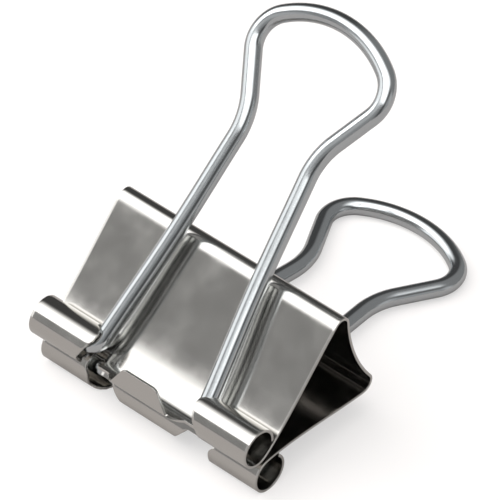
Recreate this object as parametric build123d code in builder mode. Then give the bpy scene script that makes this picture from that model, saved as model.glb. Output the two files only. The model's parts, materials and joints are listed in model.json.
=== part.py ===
from build123d import *
import os
from math import acos, asin, cos, degrees, radians, sin

# Medium binder clip, 32 mm, with both wire handles folded back along the jaws.
# It lies on its rear tubes and the loop of its rear handle. +Z is up, X runs
# along the clip's width, and +Y runs from the mouth towards the handle loops.
# The origin is on the table, under the middle of the clip's outline.
# One sheet makes both jaws and the spine. Its two corner bends flex when the
# clip opens, so the sheet is divided there and each jaw turns about its bend.

# ---- sheet body ----
CLIP_WIDTH = 32.0
SHEET = 0.32
JAW_ANGLE = 24.6  # lean of each closed jaw from the clip's middle plane
JAW_LENGTH = 15.6  # flat between the lip's curl and the corner bend
CORNER_RADIUS = 1.3  # outside of the corner bend
SPINE_BOW = 0.83  # how far the spine dips between its corners
LIP_GAP = 0.5  # daylight between the two closed lips

# ---- rolled tubes at the ends of each lip ----
TUBE_RADIUS = 2.4  # outside
TUBE_LENGTH = 7.5
TUBE_END_ROUND = 1.5  # rounded corners of a tube's inner end
SEAM_GAP = 0.15  # between a tube's free edge and its jaw

# ---- tongue between the tubes ----
LIP_CURL = 60.0  # turn of the lip's curl beside the tongue
TONGUE_CURL = 107.0  # turn of the curl that leads to the tongue's crease
TONGUE_RISE = 27.0  # slope of the tongue's flap
TONGUE_FLAP = 2.65  # crease to tip
TONGUE_ROOT = 5.6  # half width where the tongue leaves the lip
TONGUE_CREASE = 4.1  # half width at the crease
TONGUE_TIP = 2.4  # half width at the tip
TONGUE_ROUND = 0.4

# ---- spring corners ----
OPENING = 20.0  # how far each jaw opens
CORNER_ON_JAW = 40.0  # part of the corner bend that turns with the jaw
CORNER_PLAY = 2.0  # left in the bend when the jaw is wide open

# ---- wire handles ----
WIRE_RADIUS = 1.05
HANDLE_REACH = 44.65  # tube axis to the top of the loop
FOOT_CLEARANCE = 0.12  # between a leg and the inner end of its tube
FOOT_BEND = 1.6
FOOT_STUB = 3.6  # how far a foot reaches into its tube
CUT_CHAMFER = 0.2
LEG_BOW = 0.25
NECK_DROP = 14.15  # top of the loop down to the corner at the neck
NECK_HALF_WIDTH = 5.0
NECK_BEND = 8.9
SHOULDER_DROP = 4.75  # top of the loop down to the corner at the shoulder
SHOULDER_HALF_WIDTH = 9.9
SHOULDER_BEND = 3.9

# ---- frame of the clip's sections ----
# A section's x runs from the lips to the spine, and its y from the clip's
# middle plane out to one jaw. The rear section is the front one turned over.
tube_across = LIP_GAP / 2 + TUBE_RADIUS
lean = JAW_ANGLE - degrees(asin((TUBE_RADIUS - WIRE_RADIUS) / HANDLE_REACH))
loop_lean = radians(JAW_ANGLE - lean)
outline_middle = (TUBE_RADIUS - WIRE_RADIUS - HANDLE_REACH * cos(loop_lean)) / 2
middle = (0, outline_middle, TUBE_RADIUS + tube_across * cos(radians(lean)))
along = (0, cos(radians(lean)), sin(radians(lean)))
front = Plane(origin=middle, x_dir=along, z_dir=(1, 0, 0))
rear = Plane(origin=middle, x_dir=along, z_dir=(-1, 0, 0))

# ---- places worked out from the sizes ----
half_width = CLIP_WIDTH / 2
tube_inner = half_width - TUBE_LENGTH
inside_bend = CORNER_RADIUS - SHEET
jaw_normal = 90 + JAW_ANGLE
jaw_cos = cos(radians(JAW_ANGLE))
jaw_sin = sin(radians(JAW_ANGLE))
curl_start = (TUBE_RADIUS * jaw_sin, tube_across - TUBE_RADIUS * jaw_cos)
jaw_end = (curl_start[0] + JAW_LENGTH * jaw_cos, curl_start[1] + JAW_LENGTH * jaw_sin)
corner = (jaw_end[0] + inside_bend * jaw_sin, jaw_end[1] - inside_bend * jaw_cos)
neck_reach = HANDLE_REACH - NECK_DROP
shoulder_reach = HANDLE_REACH - SHOULDER_DROP


def on_curl(turn):
    """Place on the curl's outer face after it has turned by so many degrees."""
    angle = radians(jaw_normal - 180 - turn)
    return (TUBE_RADIUS * cos(angle), tube_across + TUBE_RADIUS * sin(angle))


def make_panel(side):
    """Jaw plate: its part of the corner bend, the flat and the start of the curl."""
    with BuildPart() as panel:
        with BuildSketch(side):
            with BuildLine():
                CenterArc(corner, inside_bend, jaw_normal - CORNER_ON_JAW, CORNER_ON_JAW)
                Line(jaw_end, curl_start)
                CenterArc((0, tube_across), TUBE_RADIUS, jaw_normal - 180, -LIP_CURL)
                offset(amount=SHEET, side=Side.RIGHT, closed=True)
            make_face()
        extrude(amount=half_width, both=True)
    return panel.part


def make_tubes(side):
    """The two tubes rolled from the ends of the lip, open along their seams."""
    seam = degrees(acos(1 - (SHEET + SEAM_GAP) / TUBE_RADIUS))
    with BuildPart() as tubes:
        with BuildSketch(side):
            with BuildLine():
                turn = 360 - seam - LIP_CURL
                CenterArc((0, tube_across), TUBE_RADIUS, jaw_normal - 180 - LIP_CURL, -turn)
                offset(amount=SHEET, side=Side.RIGHT, closed=True)
            make_face()
        extrude(amount=half_width, both=True)
        with BuildSketch(Plane(origin=middle, x_dir=(1, 0, 0), z_dir=front.y_dir)):
            for end in (-1, 1):
                with Locations((end * (tube_inner + TUBE_LENGTH), 0)):
                    RectangleRounded(2 * TUBE_LENGTH, 2 * TUBE_RADIUS, TUBE_END_ROUND)
        extrude(amount=2 * tube_across + TUBE_RADIUS, both=True, mode=Mode.INTERSECT)
    return tubes.part


def make_tongue(side):
    """The tongue between the tubes: more of the curl, a crease and a flat flap."""
    crease = on_curl(TONGUE_CURL)
    rise = radians(TONGUE_RISE)
    tip = (crease[0] + TONGUE_FLAP * sin(rise), crease[1] + TONGUE_FLAP * cos(rise))
    root = on_curl(LIP_CURL)
    with BuildPart() as tongue:
        with BuildSketch(side):
            with BuildLine():
                turn = TONGUE_CURL - LIP_CURL
                CenterArc((0, tube_across), TUBE_RADIUS, jaw_normal - 180 - LIP_CURL, -turn)
                Line(crease, tip)
                offset(amount=SHEET, side=Side.RIGHT, closed=True)
            make_face()
        extrude(amount=half_width, both=True)
        plan = Plane(origin=middle, x_dir=(1, 0, 0), z_dir=-side.x_dir * side.z_dir.X)
        with BuildSketch(plan) as outline:
            with BuildLine():
                Polyline(
                    (TONGUE_ROOT, 0),
                    (TONGUE_ROOT, root[1]),
                    (TONGUE_CREASE, crease[1]),
                    (TONGUE_TIP, tip[1]),
                    (0, tip[1]),
                    (0, 0),
                    close=True,
                )
            make_face()
            mirror(about=Plane.YZ)
            fillet(outline.vertices().group_by(Axis.Y)[-1], TONGUE_ROUND)
        extrude(amount=2 * TUBE_RADIUS, both=True, mode=Mode.INTERSECT)
    return tongue.part


def make_jaw(side):
    """One jaw of the sheet body, with its two tubes and its tongue."""
    with BuildPart() as jaw:
        add(make_panel(side))
        add(make_tubes(side))
        add(make_tongue(side))
    return jaw.part


def make_spine():
    """Back of the sheet body: a shallow hollow arc between two corner bends."""
    corner_along, corner_across = corner
    centres = (corner_across**2 + SPINE_BOW**2) / (2 * SPINE_BOW)
    tilt = degrees(asin(corner_across / centres))
    hollow_along = corner_along + centres * cos(radians(tilt))
    flank = jaw_normal - CORNER_ON_JAW - OPENING - CORNER_PLAY
    with BuildPart() as spine:
        with BuildSketch(front):
            with BuildLine():
                CenterArc(corner, inside_bend, flank, -flank - tilt)
                CenterArc((hollow_along, 0), centres - inside_bend, 180 - tilt, 2 * tilt)
                CenterArc((corner_along, -corner_across), inside_bend, tilt, -flank - tilt)
                offset(amount=SHEET, side=Side.LEFT, closed=True)
            make_face()
        extrude(amount=half_width, both=True)
    return spine.part


def make_handle(side):
    """One bent wire: a foot in each tube, two legs, a neck and a wide loop."""
    leg_along = side.x_dir * jaw_cos + side.y_dir * jaw_sin
    pivot = side.from_local_coords(Vector(0, tube_across, 0))
    flat = Plane(origin=pivot, x_dir=leg_along, z_dir=leg_along.cross(Vector(1, 0, 0)))
    gate_reach = TUBE_RADIUS - SHEET
    gate_half_width = tube_inner - FOOT_CLEARANCE - WIRE_RADIUS
    leg_slant = (gate_half_width - NECK_HALF_WIDTH) / (neck_reach - gate_reach)
    foot_half_width = gate_half_width + gate_reach * leg_slant
    bends = (
        (SHOULDER_HALF_WIDTH, SHOULDER_BEND),
        (NECK_HALF_WIDTH, NECK_BEND),
        (foot_half_width, FOOT_BEND),
    )
    with BuildPart() as handle:
        with BuildLine(flat) as bent_wire:
            for hand in (1, -1):
                foot = (0, hand * foot_half_width)
                neck = (neck_reach, hand * NECK_HALF_WIDTH)
                shoulder = (shoulder_reach, hand * SHOULDER_HALF_WIDTH)
                Line((0, hand * (tube_inner + FOOT_STUB)), foot)
                SagittaArc(foot, neck, -hand * LEG_BOW)
                Line(neck, shoulder)
            far_shoulder = (shoulder_reach, SHOULDER_HALF_WIDTH)
            ThreePointArc(far_shoulder, (HANDLE_REACH, 0), shoulder)
            for spread, bend in bends:
                fillet([v for v in bent_wire.vertices() if abs(abs(v.X) - spread) < 0.001], bend)
        centre_line = bent_wire.wire()
        with BuildSketch(Plane(origin=centre_line @ 0, z_dir=centre_line % 0)):
            Circle(WIRE_RADIUS)
        sweep(path=centre_line)
        chamfer(handle.faces().filter_by(GeomType.PLANE).edges(), CUT_CHAMFER)
    return handle.part


os.makedirs("parts", exist_ok=True)
pieces = {
    "spine": make_spine(),
    "front_jaw": make_jaw(front),
    "rear_jaw": make_jaw(rear),
    "front_handle": make_handle(front),
    "rear_handle": make_handle(rear),
}
for label, piece in pieces.items():
    piece.label = label
    export_step(piece, f"parts/{label}.step")
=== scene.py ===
import json
from math import acos, asin, atan2, ceil, cos, degrees, exp, pi, radians, sin, sqrt

import bmesh
import bpy
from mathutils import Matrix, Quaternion, Vector


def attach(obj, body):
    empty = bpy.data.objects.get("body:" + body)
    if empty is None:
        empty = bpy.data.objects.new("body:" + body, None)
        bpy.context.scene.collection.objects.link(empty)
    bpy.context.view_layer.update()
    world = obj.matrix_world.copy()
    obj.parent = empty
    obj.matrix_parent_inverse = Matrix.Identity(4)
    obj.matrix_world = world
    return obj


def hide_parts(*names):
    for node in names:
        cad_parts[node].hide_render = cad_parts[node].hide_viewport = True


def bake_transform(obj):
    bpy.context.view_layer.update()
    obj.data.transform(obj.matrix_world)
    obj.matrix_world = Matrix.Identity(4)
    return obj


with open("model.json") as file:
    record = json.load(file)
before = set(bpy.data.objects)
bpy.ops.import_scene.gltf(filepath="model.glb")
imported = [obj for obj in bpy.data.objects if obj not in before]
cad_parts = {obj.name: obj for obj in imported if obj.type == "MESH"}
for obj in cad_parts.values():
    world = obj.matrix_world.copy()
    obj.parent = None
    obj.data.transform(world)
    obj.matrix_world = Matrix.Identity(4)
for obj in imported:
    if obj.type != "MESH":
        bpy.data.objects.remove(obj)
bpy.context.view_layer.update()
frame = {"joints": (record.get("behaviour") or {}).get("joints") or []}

# A folded binder clip: one strip of plated spring steel and two bent wires.
# Sizes below are in millimetres, and everything is built in metres.
MM = 0.001

# ---- where the clip is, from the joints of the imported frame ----
joints = {j["name"]: j for j in frame["joints"]}


def joint_place(name):
    return Vector(joints[name]["pos_m"]) / MM


ACROSS_X = Vector((1, 0, 0))
front_tube = joint_place("front_handle_swing")
rear_tube = joint_place("rear_handle_swing")
MIDDLE = (front_tube + rear_tube) / 2
OUTWARD = (front_tube - rear_tube).normalized()
BACKWARD = OUTWARD.cross(ACROSS_X)
TUBE_ACROSS = (front_tube - rear_tube).length / 2
corner_place = joint_place("front_jaw_flex") - MIDDLE
CORNER = (corner_place.dot(BACKWARD), corner_place.dot(OUTWARD))

# ---- strip ----
HALF_WIDTH = 16.0
SHEET = 0.32
JAW_ANGLE = 24.6
INSIDE_BEND = 0.98
SPINE_BOW = 0.83
EASE_TURN = 5.0  # the plate starts to turn a little before the corner bend
EASE_LENGTH = 0.95
PANEL_DISH = 1.6  # how strongly a jaw plate hollows towards its lip
DISH_FADE = 0.8  # the hollow runs this far on into the lip's curl
TUBE_RADIUS = 2.4
SEAM_GAP = 0.15
LIP_CURL = 60.0
LIP_END = 7.3  # half width of the lip that carries the tongue
SLOT_TOP = 0.1  # how far the slot beside each tube runs up into the flat
TONGUE_CURL = 107.0
TONGUE_RISE = 27.0
TONGUE_FLAP = 2.65
TONGUE_ROOT = 5.6
TONGUE_CREASE = 4.1
TONGUE_TIP = 2.4
TONGUE_ROUND = 0.4
CREASE_BEND = 0.35
CREASE_TURN = 180 + JAW_ANGLE - TONGUE_CURL - (90 - TONGUE_RISE)
CREASE_LEAD = 5  # degrees of the curl that the crease's tighter bend takes over
CREASE_LENGTH = 0.12  # part of the flap's length that lies in the crease
CUT_EDGE = 0.05  # softened arris along every sheared edge

# ---- how finely the strip is divided, along it and across it ----
SPINE_ROWS, CORNER_ROWS, EASE_ROWS, FLAT_ROWS, LIP_ROWS = 24, 36, 6, 60, 24
TUBE_ROWS, TONGUE_ROWS, CREASE_ROWS, FLAP_ROWS = 112, 16, 8, 18
TUBE_COLUMNS, HALF_LIP_COLUMNS, TONGUE_COLUMNS = 22, 4, 28
LIP_COLUMNS = 2 * HALF_LIP_COLUMNS
SHEARED_ANGLE = 60  # edges sharper than this many degrees are sheared ones

# ---- wire ----
WIRE_RADIUS = 1.05
WIRE_CHAMFER = 0.2
HANDLE_REACH = 44.65
FOOT_REACH = 12.1
FOOT_HALF_WIDTH = 7.85
FOOT_BEND = 1.6
LEG_BOW = 0.25
NECK = (30.5, 5.0)
NECK_BEND = 8.9
SHOULDER = (39.9, 9.9)
SHOULDER_BEND = 3.9
WIRE_SIDES = 48
BEND_STEP = 0.25  # between rings where the wire bends
STRAIGHT_STEP = 0.5  # between rings at most
CHAMFER_SHARES = (0.0, 0.35, 0.7, 1.0)


def clip_point(across, back, out):
    """A point of the clip's own section, in metres in the row frame."""
    return (MIDDLE + ACROSS_X * across + BACKWARD * back + OUTWARD * out) * MM


# ------------------------------------------------------------------ strip
class FoldedLine:
    """The strip's mouth-side line, walked from the spine's middle to its end."""

    def __init__(self, back):
        self.place = Vector((back, 0.0))
        self.heading = pi / 2
        self.length = 0.0
        self.turned = 0.0
        self.rows = []
        self.note()

    def note(self):
        normal = Vector((sin(self.heading), -cos(self.heading)))
        self.rows.append((self.place.copy(), normal, self.length, self.turned))

    def straight(self, length, steps):
        for _ in range(steps):
            self.place += Vector((cos(self.heading), sin(self.heading))) * length / steps
            self.length += length / steps
            self.note()

    def bend(self, radius, turn, steps):
        """Turns by so many degrees, to the left if turn is above zero."""
        step = radians(turn) / steps
        chord = 2 * radius * sin(abs(step) / 2)
        for _ in range(steps):
            self.heading += step / 2
            self.place += Vector((cos(self.heading), sin(self.heading))) * chord
            self.heading += step / 2
            self.length += radius * abs(step)
            self.turned -= turn / steps
            self.note()


def panel_line():
    """From the middle of the spine over the corner and down the jaw to the lip."""
    centres = (CORNER[1] ** 2 + SPINE_BOW**2) / (2 * SPINE_BOW)
    tilt = asin(CORNER[1] / centres)
    hollow_back = CORNER[0] + centres * cos(tilt)
    line = FoldedLine(hollow_back - centres + INSIDE_BEND)
    line.bend(centres - INSIDE_BEND, -degrees(tilt), SPINE_ROWS)
    line.bend(INSIDE_BEND, 90 + JAW_ANGLE + degrees(tilt) - EASE_TURN, CORNER_ROWS)
    line.bend(EASE_LENGTH / radians(EASE_TURN), EASE_TURN, EASE_ROWS)
    flat_from = len(line.rows)
    curl_back = TUBE_RADIUS * sin(radians(JAW_ANGLE))
    flat = (line.place.x - curl_back) / cos(radians(JAW_ANGLE))
    line.straight(flat, FLAT_ROWS)
    for row in range(flat_from, len(line.rows)):
        place, normal, length, turned = line.rows[row]
        part = (row - flat_from + 1) / FLAT_ROWS
        dish = PANEL_DISH * part * part * (1 - part)
        line.rows[row] = (place - normal * dish, normal, length, turned)
    line.turned = 0.0  # from here on, the angle of the curl
    curl_from, flat_length = len(line.rows), line.length
    line.bend(TUBE_RADIUS, -LIP_CURL, LIP_ROWS)
    for row in range(curl_from, len(line.rows)):
        place, normal, length, turned = line.rows[row]
        past = length - flat_length
        rise = PANEL_DISH / flat * past * exp(-(past / DISH_FADE) ** 2)
        line.rows[row] = (place + normal * rise, normal, length, turned)
    return line


# How far from the clip's middle a tube's inner end is cut, by the angle round
# the tube: notched at the lip, full at its front, cut back where the leg passes.
TUBE_END = (
    # degrees, mm
    (235, 9.5), (208, 9.0), (180, 9.0), (166, 8.85), (150, 8.45), (135, 8.15), (117, 7.8),
    (96, 7.5), (75, 7.5), (62, 7.75), (52, 8.15), (39, 8.9), (25, 9.05), (-45, 9.1),
)


def tube_inner_end(turn):
    """Where the tube's inner end is cut, after so many degrees of its curl."""
    angle = 270 + JAW_ANGLE - turn
    for (above, far), (below, near) in zip(TUBE_END, TUBE_END[1:]):
        if angle >= below:
            share = min(1.0, (above - angle) / (above - below))
            return far + (near - far) * (3 - 2 * share) * share * share
    return TUBE_END[-1][1]


def shares(count):
    """The marks from nought to one that divide something into equal parts."""
    return [i / count for i in range(count + 1)]


def spaced(low, high, parts):
    """The same marks, moved to run from low to high."""
    return [low + (high - low) * p for p in parts]


def folded_half(name, side):
    """Half of the strip: half of the spine, one corner, a jaw, two tubes, a tongue."""
    panel = panel_line()
    root_row = len(panel.rows) - 1
    tube = panel_line()
    seam = degrees(acos(1 - (SHEET + SEAM_GAP) / TUBE_RADIUS))
    tube.bend(TUBE_RADIUS, -(360 - seam - LIP_CURL), TUBE_ROWS)
    tongue = panel_line()
    tongue.bend(TUBE_RADIUS, -(TONGUE_CURL - LIP_CURL) + CREASE_LEAD, TONGUE_ROWS)
    crease_row = len(tongue.rows) - 1 + CREASE_ROWS // 2
    tongue.bend(CREASE_BEND, -(CREASE_TURN + CREASE_LEAD), CREASE_ROWS)
    tongue.straight(TONGUE_FLAP - CREASE_LENGTH, FLAP_ROWS)

    tube_root = tube_inner_end(LIP_CURL)
    tube_parts, tongue_parts = shares(TUBE_COLUMNS), shares(TONGUE_COLUMNS)
    lip_parts = shares(HALF_LIP_COLUMNS)
    right = spaced(tube_root, HALF_WIDTH, tube_parts)
    lip = spaced(TONGUE_ROOT, LIP_END, lip_parts) + spaced(LIP_END, tube_root, lip_parts)[1:]
    middle = spaced(-TONGUE_ROOT, TONGUE_ROOT, tongue_parts)
    columns = (
        [-x for x in reversed(right)]
        + [-x for x in reversed(lip[:-1])]
        + middle[1:]
        + lip[1:]
        + right[1:]
    )
    made = bmesh.new()
    blank = made.loops.layers.uv.new("blank")
    spots = {}

    def spot(zone, row, column, line, across):
        """The two points of the strip, mouth side and outer side, at one place."""
        key = (zone, row, column)
        if key not in spots:
            place, normal, length, _ = line.rows[row]
            other = place + normal * SHEET
            spots[key] = (
                made.verts.new(clip_point(across, place.x, side * place.y)),
                made.verts.new(clip_point(across, other.x, side * other.y)),
                (across * MM, length * MM),
            )
        return spots[key]

    def skin(corners):
        """One patch of each face of the strip."""
        for which in (0, 1):
            ring = corners if (which == 0) == (side > 0) else corners[::-1]
            face = made.faces.new([c[which] for c in ring])
            for loop, c in zip(face.loops, ring):
                loop[blank].uv = c[2]

    # The plate, but for a slot in its lip between the tongue's root and each tube.
    last = len(columns) - 1
    slot_length = panel.rows[root_row - LIP_ROWS][2] - SLOT_TOP
    for row in range(root_row):
        for c in range(last):
            across = abs(columns[c] + columns[c + 1]) / 2
            if panel.rows[row][2] >= slot_length and LIP_END < across < tube_root:
                continue
            skin([
                spot("panel", row, c, panel, columns[c]),
                spot("panel", row, c + 1, panel, columns[c + 1]),
                spot("panel", row + 1, c + 1, panel, columns[c + 1]),
                spot("panel", row + 1, c, panel, columns[c]),
            ])

    def flange(zone, line, first_column, parts, edges, last_row):
        """More of the strip below the lip, as wide at each row as edges says."""
        def at(row, c):
            if row == root_row:
                column = first_column + c
                return spot("panel", row, column, line, columns[column])
            low, high = edges(row)
            return spot(zone, row, c, line, low + (high - low) * parts[c])

        for row in range(root_row, last_row):
            for c in range(len(parts) - 1):
                skin([at(row, c), at(row, c + 1), at(row + 1, c + 1), at(row + 1, c)])

    def right_tube(row):
        return tube_inner_end(tube.rows[row][3]), HALF_WIDTH

    def left_tube(row):
        low, high = right_tube(row)
        return -high, -low

    def tongue_sides(row):
        crease_out = tongue.rows[crease_row][0].y
        root_out = tongue.rows[root_row][0].y
        tip_out = tongue.rows[-1][0].y
        out = tongue.rows[row][0].y
        if out <= crease_out:
            share = (out - root_out) / (crease_out - root_out)
            half = TONGUE_ROOT + (TONGUE_CREASE - TONGUE_ROOT) * share
        else:
            share = (out - crease_out) / (tip_out - crease_out)
            half = TONGUE_CREASE + (TONGUE_TIP - TONGUE_CREASE) * share
            left = tip_out - out
            if left < TONGUE_ROUND:
                half -= TONGUE_ROUND - sqrt(TONGUE_ROUND**2 - (TONGUE_ROUND - left) ** 2)
        return -half, half

    flange("left", tube, 0, tube_parts, left_tube, len(tube.rows) - 1)
    flange("right", tube, last - TUBE_COLUMNS, tube_parts, right_tube, len(tube.rows) - 1)
    tongue_from = TUBE_COLUMNS + LIP_COLUMNS
    flange("tongue", tongue, tongue_from, tongue_parts, tongue_sides, len(tongue.rows) - 1)

    # The sheared edge round the blank, all but where the two halves meet.
    pairs = {a: (b, uv) for a, b, uv in spots.values()}
    for edge in [e for e in made.edges if e.is_boundary and all(v in pairs for v in e.verts)]:
        if all(pairs[v][1][1] < 1e-9 for v in edge.verts):
            continue
        loop = edge.link_loops[0]
        first, second = loop.vert, loop.link_loop_next.vert
        rim = made.faces.new([second, first, pairs[first][0], pairs[second][0]])
        for corner, v in zip(rim.loops, (second, first, first, second)):
            corner[blank].uv = pairs[v][1]
    for face in made.faces:
        face.smooth = True
    made.normal_update()
    arris = [
        e for e in made.edges
        if len(e.link_faces) == 2 and e.calc_face_angle() > radians(SHEARED_ANGLE)
    ]
    bmesh.ops.bevel(
        made, geom=arris, offset=CUT_EDGE * MM, offset_type="OFFSET", segments=2,
        profile=0.5, affect="EDGES", clamp_overlap=True,
    )
    mesh = bpy.data.meshes.new(name)
    made.to_mesh(mesh)
    made.free()
    piece = bpy.data.objects.new(name, mesh)
    bpy.context.scene.collection.objects.link(piece)
    # Big faces lead the shading, so the narrow arris doesn't round off the plate.
    smooth = piece.modifiers.new("even shine", "WEIGHTED_NORMAL")
    smooth.weight = 50
    return piece


# ------------------------------------------------------------------- wire
def rounded(points, bends, step):
    """A line through the points with each inner corner rounded to its bend."""
    line = [points[0]]
    for before, at, after, bend in zip(points, points[1:], points[2:], bends):
        arriving, leaving = (at - before).normalized(), (after - at).normalized()
        turn = arriving.angle(leaving)
        reach = bend * sin(turn / 2) / cos(turn / 2)
        centre = at + (leaving - arriving).normalized() * bend / cos(turn / 2)
        start = at - arriving * reach - centre
        side = 1 if arriving.x * leaving.y - arriving.y * leaving.x > 0 else -1
        steps = ceil(turn * bend / step)
        for i in range(steps + 1):
            a = side * turn * i / steps
            line.append(centre + Vector((
                start.x * cos(a) - start.y * sin(a), start.x * sin(a) + start.y * cos(a))))
    line.append(points[-1])
    return line


def handle_line():
    """One side of the bent wire, from its cut end to the top of the loop."""
    across, reach = SHOULDER[1], HANDLE_REACH - SHOULDER[0]
    dome = (across**2 + reach**2) / (2 * reach)
    dome_reach = HANDLE_REACH - dome
    neck, shoulder = Vector(NECK), Vector(SHOULDER)
    slope = (shoulder - neck).normalized()
    inward = Vector((slope.y, -slope.x))
    base = neck + inward * SHOULDER_BEND - Vector((dome_reach, 0))
    along = base.dot(slope)
    room = (dome - SHOULDER_BEND) ** 2 - (base.length_squared - along**2)
    centre = base + slope * (sqrt(room) - along) + Vector((dome_reach, 0))
    touch = centre - inward * SHOULDER_BEND
    line = rounded(
        [Vector((0, FOOT_REACH)), Vector((0, FOOT_HALF_WIDTH)), neck, touch],
        [FOOT_BEND, NECK_BEND], BEND_STEP,
    )
    start = touch - centre
    outer = (centre - Vector((dome_reach, 0))).normalized()
    begin, end = atan2(start.y, start.x), atan2(outer.y, outer.x)
    steps = ceil(abs(begin - end) * SHOULDER_BEND / BEND_STEP)
    for i in range(1, steps + 1):
        a = begin + (end - begin) * i / steps
        line.append(centre + Vector((cos(a), sin(a))) * SHOULDER_BEND)
    steps = ceil(end * dome / BEND_STEP)
    for i in range(1, steps + 1):
        a = end * (1 - i / steps)
        line.append(Vector((dome_reach + dome * cos(a), dome * sin(a))))
    even = [line[0]]
    for point in line[1:]:
        before = even[-1]
        gap = point - before
        steps = max(1, ceil(gap.length / STRAIGHT_STEP))
        even += [before + gap * i / steps for i in range(1, steps + 1)]
    for point in even:
        if 0 < point.x < NECK[0]:
            point.y -= LEG_BOW * sin(pi * point.x / NECK[0]) ** 2
    return even


def bent_wire(name, side):
    """One handle: a single wire with a foot in each tube, two legs and a loop."""
    half = handle_line()
    line = half + [Vector((p.x, -p.y)) for p in reversed(half[:-1])]
    lean = radians(JAW_ANGLE)
    leg = BACKWARD * cos(lean) + OUTWARD * side * sin(lean)
    facing = leg.cross(ACROSS_X) * -side
    pivot = MIDDLE + OUTWARD * side * TUBE_ACROSS
    made = bmesh.new()
    drawn = made.loops.layers.uv.new("drawn")
    rings, lengths, length = [], [], 0.0

    def ring(at, sideways, radius):
        rings.append([
            made.verts.new((at + (sideways * cos(a) + facing * sin(a)) * radius) * MM)
            for a in (2 * pi * k / WIRE_SIDES for k in range(WIRE_SIDES))
        ])
        lengths.append(length * MM)

    def cut_end(at, inward, sideways, shares_of_chamfer):
        """The chamfered end of the wire, as rings from the cut to the full wire."""
        for share in shares_of_chamfer:
            radius = WIRE_RADIUS - WIRE_CHAMFER * (1 - sin(share * pi / 2))
            ring(at + inward * WIRE_CHAMFER * (1 - cos(share * pi / 2)), sideways, radius)

    places = [pivot + leg * p.x + ACROSS_X * p.y for p in line]
    for i, at in enumerate(places):
        ahead = (places[min(i + 1, len(places) - 1)] - places[max(i - 1, 0)]).normalized()
        sideways = ahead.cross(facing).normalized()
        if i == 0:
            cut_end(at, ahead, sideways, CHAMFER_SHARES)
        elif i == len(places) - 1:
            cut_end(at, -ahead, sideways, CHAMFER_SHARES[::-1])
        else:
            length += (at - places[i - 1]).length
            ring(at, sideways, WIRE_RADIUS)
    girth = 2 * pi * WIRE_RADIUS * MM / WIRE_SIDES
    for i in range(len(rings) - 1):
        for k in range(WIRE_SIDES):
            n = (k + 1) % WIRE_SIDES
            face = made.faces.new([rings[i][k], rings[i][n], rings[i + 1][n], rings[i + 1][k]])
            face.smooth = True
            for loop, uv in zip(face.loops, (
                (lengths[i], k * girth), (lengths[i], (k + 1) * girth),
                (lengths[i + 1], (k + 1) * girth), (lengths[i + 1], k * girth),
            )):
                loop[drawn].uv = uv
    for end in (rings[0][::-1], rings[-1]):
        made.faces.new(end)
    bmesh.ops.recalc_face_normals(made, faces=made.faces)
    mesh = bpy.data.meshes.new(name)
    made.to_mesh(mesh)
    made.free()
    piece = bpy.data.objects.new(name, mesh)
    bpy.context.scene.collection.objects.link(piece)
    return piece


# -------------------------------------------------------------- materials
def hex_colour(text):
    """An sRGB colour such as 9a9590 as linear red, green, blue and alpha."""
    values = [int(text[i:i + 2], 16) / 255 for i in (0, 2, 4)]
    linear = [v / 12.92 if v <= 0.04045 else ((v + 0.055) / 1.055) ** 2.4 for v in values]
    return (*linear, 1.0)


def put(tree, kind, settings=(), **inputs):
    """Adds a node. Inputs are values or outputs, by the socket's name or number."""
    made = tree.nodes.new(kind)
    for key, value in dict(settings).items():
        setattr(made, key, value)
    for key, value in inputs.items():
        numbered = key[0] == "_" and key[1:].isdigit()
        socket = made.inputs[int(key[1:]) if numbered else key.replace("_", " ")]
        if isinstance(value, bpy.types.NodeSocket):
            tree.links.new(value, socket)
        else:
            socket.default_value = value
    return made


def new_material(name):
    material = bpy.data.materials.new(name)
    material.use_nodes = True
    tree = material.node_tree
    tree.nodes.clear()
    return material, tree


LINE_DEPTH = 0.02


def polished_metal(name, map_name, base, per_mm, clouds_per_m, haze, lift):
    """A plated metal: fine worked lines for the bump, and a haze that varies a little.

    The lines are given as how many there are to a millimetre along and across the
    work. Real rolling and drawing lines are a few hundredths of a millimetre apart.
    They are drawn about a tenth apart here, because finer ones would only sparkle.
    """
    material, tree = new_material(name)
    place = put(tree, "ShaderNodeUVMap", {"uv_map": map_name}).outputs["UV"]
    along, across = per_mm
    grain = put(
        tree, "ShaderNodeMapping", {"vector_type": "POINT"},
        Vector=place, Scale=(along / MM, across / MM, 1.0),
    )
    lines = put(
        tree, "ShaderNodeTexNoise", {"noise_dimensions": "2D"},
        Vector=grain.outputs["Vector"], Scale=1.0, Detail=3.0, Roughness=0.6,
    ).outputs["Fac"]
    uneven = lines
    if clouds_per_m:
        uneven = put(
            tree, "ShaderNodeTexNoise", {"noise_dimensions": "2D"},
            Vector=place, Scale=clouds_per_m, Detail=3.0, Roughness=0.55,
        ).outputs["Fac"]
    low, high = haze
    hazed = put(
        tree, "ShaderNodeMapRange", {}, Value=uneven, _1=0.3, _2=0.7, _3=low, _4=high)
    bump = put(
        tree, "ShaderNodeBump", {}, Strength=lift, Distance=LINE_DEPTH * MM, Height=lines)
    shader = put(
        tree, "ShaderNodeBsdfPrincipled", {},
        Base_Color=hex_colour(base), Metallic=1.0,
        Roughness=hazed.outputs["Result"], Normal=bump.outputs["Normal"],
    )
    put(tree, "ShaderNodeOutputMaterial", {}, Surface=shader.outputs["BSDF"])
    return material


def plated_sheet():
    """Bright nickel plate over cold-rolled strip.

    Rolling leaves the strip almost flat and the plate is bright, so it mirrors
    the studio with crisp edges. Its haze drifts over about four millimetres, and
    gives the grey of the jaws their slightly cloudy look.
    """
    return polished_metal(
        "bright nickel plate on rolled steel strip", "blank", "cbc9c5",
        per_mm=(9.0, 1.4), clouds_per_m=260.0, haze=(0.1, 0.16), lift=0.06,
    )


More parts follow.
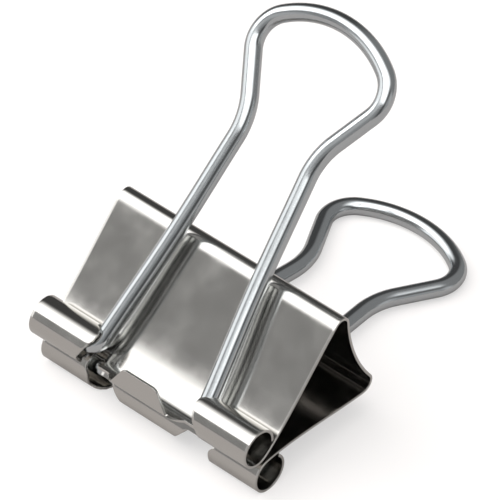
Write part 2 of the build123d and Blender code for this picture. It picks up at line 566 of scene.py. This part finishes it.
def plated_wire():
    """Nickel plate over drawn wire.

    Drawing leaves fine lines along the wire, which stretch its reflections into
    long bright and dark streaks. Its plate is a little cooler than the strip's.
    """
    return polished_metal(
        "nickel plate on drawn steel wire", "drawn", "c6cacc",
        per_mm=(0.5, 9.0), clouds_per_m=None, haze=(0.12, 0.2), lift=0.12,
    )


FLOOR_LIFT = 0.55


def studio_floor():
    """Matt paper: no gloss, so that it only shows soft contact shadows.

    It is lifted to white where it is looked at directly. The metal mirrors the
    paper's own pale grey.
    """
    material, tree = new_material("matt white paper sweep")
    shader = put(
        tree, "ShaderNodeBsdfPrincipled", {},
        Base_Color=hex_colour("b3afad"), Roughness=1.0, Specular_IOR_Level=0.0,
        Emission_Color=(1, 1, 1, 1),
    )
    seen = put(tree, "ShaderNodeLightPath").outputs["Is Camera Ray"]
    lift = put(tree, "ShaderNodeMath", {"operation": "MULTIPLY"}, _0=seen, _1=FLOOR_LIFT)
    tree.links.new(lift.outputs["Value"], shader.inputs["Emission Strength"])
    put(tree, "ShaderNodeOutputMaterial", {}, Surface=shader.outputs["BSDF"])
    return material


# ------------------------------------------------------------- the pieces
sheet_metal = plated_sheet()
wire_metal = plated_wire()
front_sheet = folded_half("front_half_of_strip", 1)
rear_sheet = folded_half("rear_half_of_strip", -1)
front_wire = bent_wire("front_wire_handle", 1)
rear_wire = bent_wire("rear_wire_handle", -1)
for piece, metal in (
    (front_sheet, sheet_metal), (rear_sheet, sheet_metal),
    (front_wire, wire_metal), (rear_wire, wire_metal),
):
    piece.data.materials.append(metal)
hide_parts("front_jaw", "spine")
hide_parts("rear_jaw")
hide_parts("front_handle")
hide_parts("rear_handle")


for piece, side, jaw in ((front_sheet, 1, "front_jaw"), (rear_sheet, -1, "rear_jaw")):
    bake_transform(piece)
for piece, body in ((front_wire, "front_handle"), (rear_wire, "rear_handle")):
    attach(piece, body)

# ------------------------------------------------------------------ studio
FLOOR_SIZE = 6.0
floor_mesh = bpy.data.meshes.new("paper_sweep")
half_floor = FLOOR_SIZE / 2
floor_mesh.from_pydata(
    [(x * half_floor, y * half_floor, 0) for x, y in ((-1, -1), (1, -1), (1, 1), (-1, 1))],
    [], [(0, 1, 2, 3)],
)
floor = bpy.data.objects.new("paper_sweep", floor_mesh)
floor.data.materials.append(studio_floor())
bpy.context.scene.collection.objects.link(floor)

world = bpy.data.worlds.new("soft studio")
bpy.context.scene.world = world
world.use_nodes = True
sky = world.node_tree
sky.nodes.clear()
look = put(sky, "ShaderNodeTexCoord").outputs["Generated"]


def combined(operation, first, second):
    """The product or the sum of two values in the studio's light."""
    made = put(sky, "ShaderNodeMath", {"operation": operation}, _0=first, _1=second)
    return made.outputs["Value"]


def lit_where(limits):
    """One where a direction lies on the bright side of every limit, soft at its edge."""
    total = None
    for direction, dark, bright in limits:
        along = put(
            sky, "ShaderNodeVectorMath", {"operation": "DOT_PRODUCT"}, _0=look, _1=direction)
        part = put(
            sky, "ShaderNodeMapRange", {"interpolation_type": "SMOOTHSTEP"},
            Value=along.outputs["Value"], _1=dark, _2=bright, _3=0.0, _4=1.0,
        ).outputs["Result"]
        total = part if total is None else combined("MULTIPLY", total, part)
    return total


def lean_up(angle):
    """Square to the clip's width, so many degrees on from straight up to the back."""
    return (0.0, sin(radians(angle)), cos(radians(angle)))


RIGHT, BACK, UP = (1, 0, 0), (0, 1, 0), (0, 0, 1)
# Each panel is a strength and its limits: along a direction, the place where the
# panel has faded out and the place where it is full. Panels that overlap add up.
panels = (
    # the key: a long softbox above, whose lower edge draws the line on each plate
    (2.0, (
        (lean_up(40.0), 0.0, 0.03), (lean_up(95.0), 0.32, -0.28),
        (RIGHT, 0.8, 0.5), (RIGHT, -0.97, -0.85))),
    # the grey room in front, brighter at the left, which the plates mirror
    (0.30, ((BACK, 0.25, -0.1), (RIGHT, 0.75, 0.35))),
    (0.09, ((BACK, 0.25, -0.1), (RIGHT, 0.1, 0.5))),
    (0.26, ((BACK, 0.25, -0.1), (RIGHT, 0.3, 0.0), (RIGHT, -0.4, -0.28))),
    # strips at the far left and far right, which draw the lines along the wires
    (1.12, ((RIGHT, -0.52, -0.62), (UP, 0.8, 0.6), (BACK, -0.05, -0.3))),
    (0.33, ((RIGHT, 0.84, 0.94), (UP, 0.75, 0.5))),
    # the dim room behind
    (0.21, ((BACK, -0.1, 0.25), (RIGHT, -0.45, -0.1))),
    (0.075, ((BACK, -0.1, 0.25),)),
)
glow = None
for strength, limits in panels:
    part = combined("MULTIPLY", lit_where(limits), strength)
    glow = part if glow is None else combined("ADD", glow, part)
WHITE = (1, 1, 1, 1)
studio_light = put(sky, "ShaderNodeBackground", {}, Color=WHITE, Strength=glow)
white = put(sky, "ShaderNodeBackground", {}, Color=WHITE, Strength=1.0)
seen = put(sky, "ShaderNodeLightPath").outputs["Is Camera Ray"]
mixed = put(
    sky, "ShaderNodeMixShader", {},
    Fac=seen, _1=studio_light.outputs["Background"], _2=white.outputs["Background"],
)
put(sky, "ShaderNodeOutputWorld", {}, Surface=mixed.outputs["Shader"])


def softbox(name, toward, distance, size, power):
    """A square soft light that hangs in a direction from the clip and faces it."""
    light = bpy.data.lights.new(name, "AREA")
    light.shape = "SQUARE"
    light.size = size
    light.energy = power
    lamp = bpy.data.objects.new(name, light)
    lamp.location = Vector(toward).normalized() * distance
    lamp.rotation_mode = "QUATERNION"
    lamp.rotation_quaternion = Vector(toward).to_track_quat("Z", "Y")
    lamp.visible_camera = False
    lamp.visible_glossy = False
    bpy.context.scene.collection.objects.link(lamp)


softbox("overhead_softbox", toward=(-0.2, -0.3, 1.0), distance=1.6, size=1.4, power=6.0)

# ------------------------------------------------------------------ camera
CAMERA_AIM = Vector((-0.53, -5.98, 15.64))
CAMERA_BACK = 618.1
CAMERA_AROUND, CAMERA_ABOVE, CAMERA_ROLL = 39.76, 40.64, 2.80  # degrees
lens = bpy.data.cameras.new("camera")
lens.lens = 402.2
lens.sensor_width = 36.0
lens.clip_start, lens.clip_end = 0.01, 50.0
camera = bpy.data.objects.new("camera", lens)
around, above = radians(CAMERA_AROUND), radians(CAMERA_ABOVE)
toward = Vector((sin(around) * cos(above), -cos(around) * cos(above), sin(above)))
camera.location = (CAMERA_AIM + toward * CAMERA_BACK) * MM
camera.rotation_mode = "QUATERNION"
level = (-toward).to_track_quat("-Z", "Y")
camera.rotation_quaternion = level @ Quaternion((0, 0, 1), radians(CAMERA_ROLL))
bpy.context.scene.collection.objects.link(camera)
bpy.context.scene.camera = camera
bpy.context.scene.view_settings.view_transform = "Standard"
